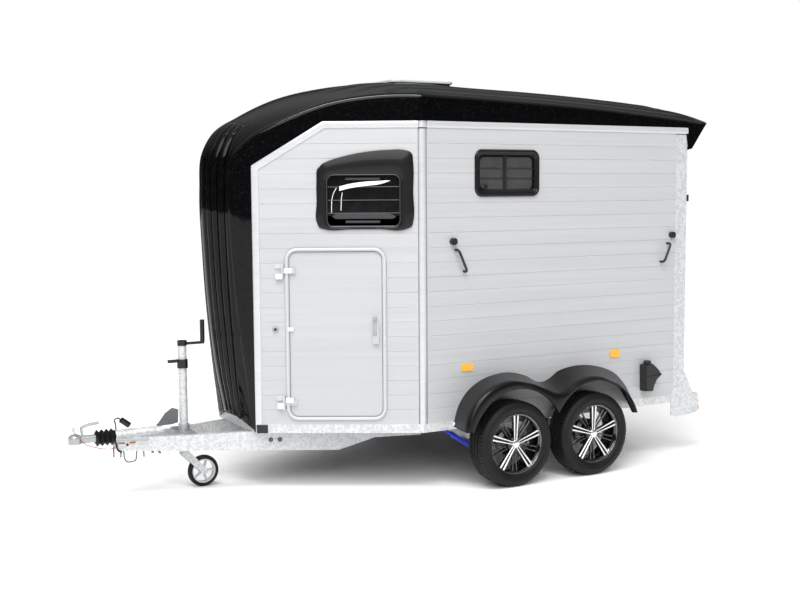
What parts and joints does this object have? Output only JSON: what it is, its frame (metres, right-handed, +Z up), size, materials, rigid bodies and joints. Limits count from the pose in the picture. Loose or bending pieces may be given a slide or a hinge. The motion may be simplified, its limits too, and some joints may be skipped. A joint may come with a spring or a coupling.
{
  "type": "horse trailer",
  "caption": "Tandem-axle horse trailer with a tapered moulded nose, plank side walls, front doors, rear ramp, overrun drawbar and jockey wheel.",
  "frame": {"origin": "on the ground, under the middle of the whole length and width", "axes": "+X towards the rear ramp (the trailer travels towards -X), +Y to its right side, +Z up"},
  "size_m": [4.712, 2.38, 2.8543],
  "materials": {
    "panel": "satin",
    "plank": "satin anodised",
    "trim": "satin anodised",
    "galvanised": "hot-dip galvanised",
    "zinc": "zinc plated",
    "damper_blue": "gloss",
    "seal_grey": "satin",
    "floor": "sealed boards",
    "black_plastic": "satin",
    "window_black": "satin",
    "gelcoat": "gloss gel coat",
    "rubber": "matt",
    "tyre": "matt",
    "gloss_black": "gloss with machined spokes",
    "lamp_red": "clear gloss",
    "amber": "clear gloss",
    "padding": "padded vinyl",
    "glass": "tinted"
  },
  "bodies": {
    "trailer": {"axle_front": "galvanised", "axle_rear": "galvanised", "bellows": "rubber", "chassis_frame": "galvanised", "coupling_head": "zinc", "dampers": "damper_blue", "door_frames": "seal_grey", "drawbar_rail_left": "galvanised", "drawbar_rail_right": "galvanised", "flap_hinges": "galvanised", "floor_deck": "floor", "front_wall_left": "plank", "front_wall_right": "plank", "grab_handles": "black_plastic", "handbrake_lever": "black_plastic", "jockey_clamp": "galvanised", "jockey_crank": "black_plastic", "jockey_tube": "zinc", "lamps": "lamp_red", "lead_plug": "black_plastic", "light_carriers": "black_plastic", "mudguard_left": "black_plastic", "mudguard_right": "black_plastic", "nose_shell": "gelcoat", "overrun_housing": "zinc", "plug_lead": "black_plastic", "ramp_hinges": "galvanised", "rear_frame": "galvanised", "reflectors": "amber", "roof_shell": "gelcoat", "roof_vent_rim": "gelcoat", "side_wall_left": "plank", "side_wall_right": "plank", "stall_bars": "padding", "stall_partition": "padding", "wall_trims": "trim", "wheel_chocks": "black_plastic", "window_frames": "window_black", "window_glass": "glass"},
    "jockey_leg": {"jockey_leg": "zinc"},
    "jockey_fork": {"jockey_fork": "zinc"},
    "jockey_wheel": {"jockey_rim": "zinc", "jockey_tyre": "rubber"},
    "tack_door": {"tack_door": "panel"},
    "access_door": {"access_door": "panel"},
    "rear_ramp": {"rear_ramp": "panel"},
    "rear_flap": {"rear_flap": "panel"},
    "roof_vent": {"roof_vent_lid": "gelcoat"},
    "wheel_front_left": {"rim_front_left": "gloss_black", "tyre_front_left": "tyre"},
    "wheel_rear_left": {"rim_rear_left": "gloss_black", "tyre_rear_left": "tyre"},
    "wheel_front_right": {"rim_front_right": "gloss_black", "tyre_front_right": "tyre"},
    "wheel_rear_right": {"rim_rear_right": "gloss_black", "tyre_rear_right": "tyre"}
  },
  "joints": [
    {"name": "wheel_front_left_spin", "type": "hinge", "parent": "trailer", "child": "wheel_front_left", "pos_m": [0.43, -1.0775, 0.3], "axis": [0, 1, 0], "continuous": true},
    {"name": "wheel_rear_left_spin", "type": "hinge", "parent": "trailer", "child": "wheel_rear_left", "pos_m": [1.111, -1.0775, 0.3], "axis": [0, 1, 0], "continuous": true},
    {"name": "wheel_front_right_spin", "type": "hinge", "parent": "trailer", "child": "wheel_front_right", "pos_m": [0.43, 1.0775, 0.3], "axis": [0, 1, 0], "continuous": true},
    {"name": "wheel_rear_right_spin", "type": "hinge", "parent": "trailer", "child": "wheel_rear_right", "pos_m": [1.111, 1.0775, 0.3], "axis": [0, 1, 0], "continuous": true},
    {"name": "jockey_leg_screw", "type": "slide", "parent": "trailer", "child": "jockey_leg", "axis": [0, 0, 1], "range_m": [-0.15, 0]},
    {"name": "jockey_fork_swivel", "type": "hinge", "parent": "jockey_leg", "child": "jockey_fork", "pos_m": [-1.56, 0, 0.27], "axis": [0, 0, 1], "continuous": true},
    {"name": "jockey_wheel_spin", "type": "hinge", "parent": "jockey_fork", "child": "jockey_wheel", "pos_m": [-1.428, 0, 0.11], "axis": [0, 1, 0], "continuous": true},
    {"name": "tack_door_hinge", "type": "hinge", "parent": "trailer", "child": "tack_door", "pos_m": [-1.00405, -0.45309, 1.08], "axis": [0, 0, -1], "range_deg": [0, 170]},
    {"name": "access_door_hinge", "type": "hinge", "parent": "trailer", "child": "access_door", "pos_m": [-1.00405, 0.45309, 1.08], "axis": [0, 0, 1], "range_deg": [0, 170]},
    {"name": "rear_ramp_hinge", "type": "hinge", "parent": "trailer", "child": "rear_ramp", "pos_m": [2.185, 0, 0.455], "axis": [0, 1, 0], "range_deg": [0, 105]},
    {"name": "rear_flap_hinge", "type": "hinge", "parent": "trailer", "child": "rear_flap", "pos_m": [2.184, 0, 2.321], "axis": [0, -1, 0], "range_deg": [0, 110]},
    {"name": "roof_vent_hinge", "type": "hinge", "parent": "trailer", "child": "roof_vent", "pos_m": [0.5, 0, 2.8323], "axis": [0, 1, 0], "range_deg": [0, 35]}
  ]
}
